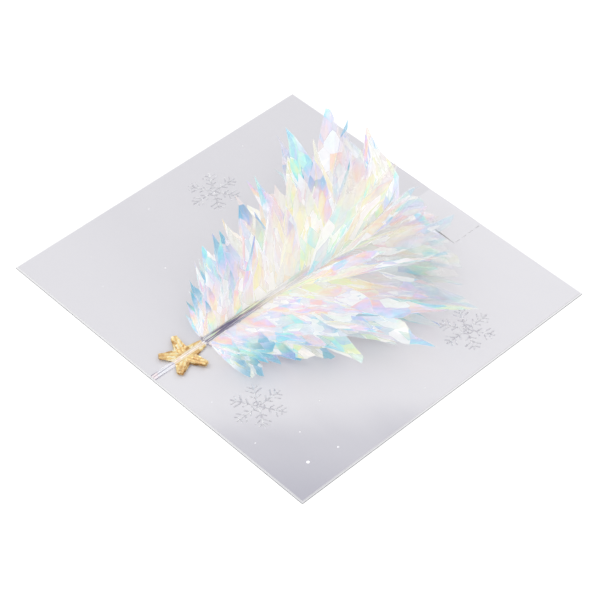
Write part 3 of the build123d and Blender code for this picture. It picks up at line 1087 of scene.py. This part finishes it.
class CARD_OT_stamp_flakes(bpy.types.Operator):
    """Stamp the silver flakes and dots on the liner, and lay the seam"""

    bl_idname = "card.stamp_flakes"
    bl_label = "Stamp the flakes"

    def execute(self, context):
        sizes, colours = context.scene.card_sizes, context.scene.card_colours
        add_piece("stamped_flakes", flakes_mesh(sizes), silver_foil(colours), "silver_foil")
        add_piece("beaded_seam", seam_mesh(sizes), seam_foil(colours), "silver_foil", "seam_strip")
        return {"FINISHED"}


class CARD_OT_cut_film(bpy.types.Operator):
    """Cut and bend the eight film sheets of the tree"""

    bl_idname = "card.cut_film"
    bl_label = "Cut the film"

    def execute(self, context):
        material = iridescent_film(context.scene.card_colours)
        sizes = context.scene.card_sizes
        add_sheets(SHEET_COUNT, film_mesh, material, "iridescent_film", "film_sheet", sizes)
        return {"FINISHED"}


class CARD_OT_fold_star(bpy.types.Operator):
    """Pleat and bend the three foil sheets of the star"""

    bl_idname = "card.fold_star"
    bl_label = "Fold the star"

    def execute(self, context):
        material = gold_foil(context.scene.card_colours)
        add_sheets(STAR_COUNT, star_mesh, material, "gold_foil", "star_sheet", context.scene.card_sizes)
        return {"FINISHED"}


def add_lamp(name, spot, size, power):
    """Adds a soft square lamp that faces the card."""
    data = bpy.data.lights.new(name, "AREA")
    data.shape = "SQUARE"
    data.size = size
    data.energy = power
    lamp = add_object(name, data)
    lamp.location = spot
    lamp.rotation_euler = (-Vector(spot)).to_track_quat("-Z", "Y").to_euler()


def pale_floor():
    """A white floor that keeps the card's shadow."""
    material, tree, shader = new_material("White floor")
    finish(tree, shader, {"Base Color": FLOOR_COLOUR, "Roughness": 0.9})
    path = place(tree, "LightPath").outputs
    seen = maths(tree, "MAXIMUM", path["Is Camera Ray"], path["Is Glossy Ray"])
    seen = maths(tree, "MAXIMUM", seen, path["Is Transmission Ray"])
    glow = place(tree, "Emission", {"Strength": times(tree, seen, FLOOR_GLOW)})
    added = place(tree, "AddShader", {0: shader.outputs[0], 1: glow.outputs[0]})
    finish(tree, tree.nodes["Material Output"], {"Surface": added.outputs[0]})
    return material


def add_floor(size):
    """Adds the floor, just under the card."""
    bm = bmesh.new()
    bmesh.ops.create_grid(bm, x_segments=1, y_segments=1, size=size / 2)
    bmesh.ops.translate(bm, verts=bm.verts[:], vec=(0, 0, CAD_BOUNDS[0][2] - FLOOR_GAP))
    mesh = mesh_of(bm, "floor")
    mesh.materials.append(pale_floor())
    add_object("floor", mesh)


def add_world(strength):
    """Adds plain white surroundings, which the camera sees at full white."""
    world = bpy.data.worlds.new("Plain surroundings")
    world.use_nodes = True
    bpy.context.scene.world = world
    tree = world.node_tree
    seen = place(tree, "LightPath").outputs["Is Camera Ray"]
    level = times_plus(tree, seen, 1.0 - strength, strength)
    finish(tree, tree.nodes["Background"], {"Color": WHITE, "Strength": level})


def view_axes(azimuth, height, roll):
    """The camera's backward, right and upward directions."""
    a, h, r = (radians(value) for value in (azimuth, height, roll))
    back = Vector((sin(a) * cos(h), -cos(a) * cos(h), sin(h)))
    right = (-back).cross(Vector((0, 0, 1))).normalized()
    up = right.cross(-back)
    return back, right * cos(r) + up * sin(r), up * cos(r) - right * sin(r)


def add_camera(lens):
    """Adds the camera where the photograph was taken from."""
    back, right, up = view_axes(*CAMERA_ANGLES)
    data = bpy.data.cameras.new("photo_camera")
    data.sensor_width = 36.0
    data.lens = lens
    camera = add_object("photo_camera", data)
    turn = Matrix((right, up, back)).transposed().to_4x4()
    turn.translation = (right * CAMERA_PLACE[0] + up * CAMERA_PLACE[1] + back * CAMERA_PLACE[2]) * MM
    camera.matrix_world = turn
    bpy.context.scene.camera = camera


class CARD_OT_set_stage(bpy.types.Operator):
    """Set up the floor, the lamps and the camera"""

    bl_idname = "card.set_stage"
    bl_label = "Set the stage"

    def execute(self, context):
        stage = context.scene.card_stage
        context.scene.view_settings.view_transform = "Standard"
        add_floor(stage.floor_size)
        add_world(stage.world_level)
        for name, spot, size, power in LAMPS:
            add_lamp(name, spot, size, power * stage.lamp_level)
        add_camera(stage.lens)
        return {"FINISHED"}


class CARD_PT_sidebar(bpy.types.Panel):
    """Lists the steps that make the card"""

    bl_idname = "CARD_PT_sidebar"
    bl_label = "Pop Up Card"
    bl_space_type = "VIEW_3D"
    bl_region_type = "UI"
    bl_category = "Card"

    def draw(self, context):
        for step in STEPS:
            self.layout.operator(step.bl_idname)
        for group in GROUPS:
            box = self.layout.box()
            settings = getattr(context.scene, group)
            for name in settings.bl_rna.properties.keys():
                if name not in ("rna_type", "name"):
                    box.prop(settings, name)


STEPS = (
    CARD_OT_dress_boards, CARD_OT_stamp_flakes, CARD_OT_cut_film, CARD_OT_fold_star, CARD_OT_set_stage)
GROUPS = {"card_sizes": CardSizes, "card_colours": CardColours, "card_stage": CardStage}


def register():
    """Registers the settings, the steps and the panel."""
    for name, group in GROUPS.items():
        bpy.utils.register_class(group)
        setattr(bpy.types.Scene, name, bpy.props.PointerProperty(type=group))
    for item in STEPS + (CARD_PT_sidebar,):
        bpy.utils.register_class(item)


def unregister():
    """Removes what register added."""
    for item in (CARD_PT_sidebar,) + STEPS[::-1]:
        bpy.utils.unregister_class(item)
    for name, group in GROUPS.items():
        delattr(bpy.types.Scene, name)
        bpy.utils.unregister_class(group)


def main():
    """Makes the dressed card on its stage."""
    register()
    bpy.ops.card.dress_boards()
    bpy.ops.card.stamp_flakes()
    bpy.ops.card.cut_film()
    bpy.ops.card.fold_star()
    bpy.ops.card.set_stage()


if __name__ == "__main__":
    main()
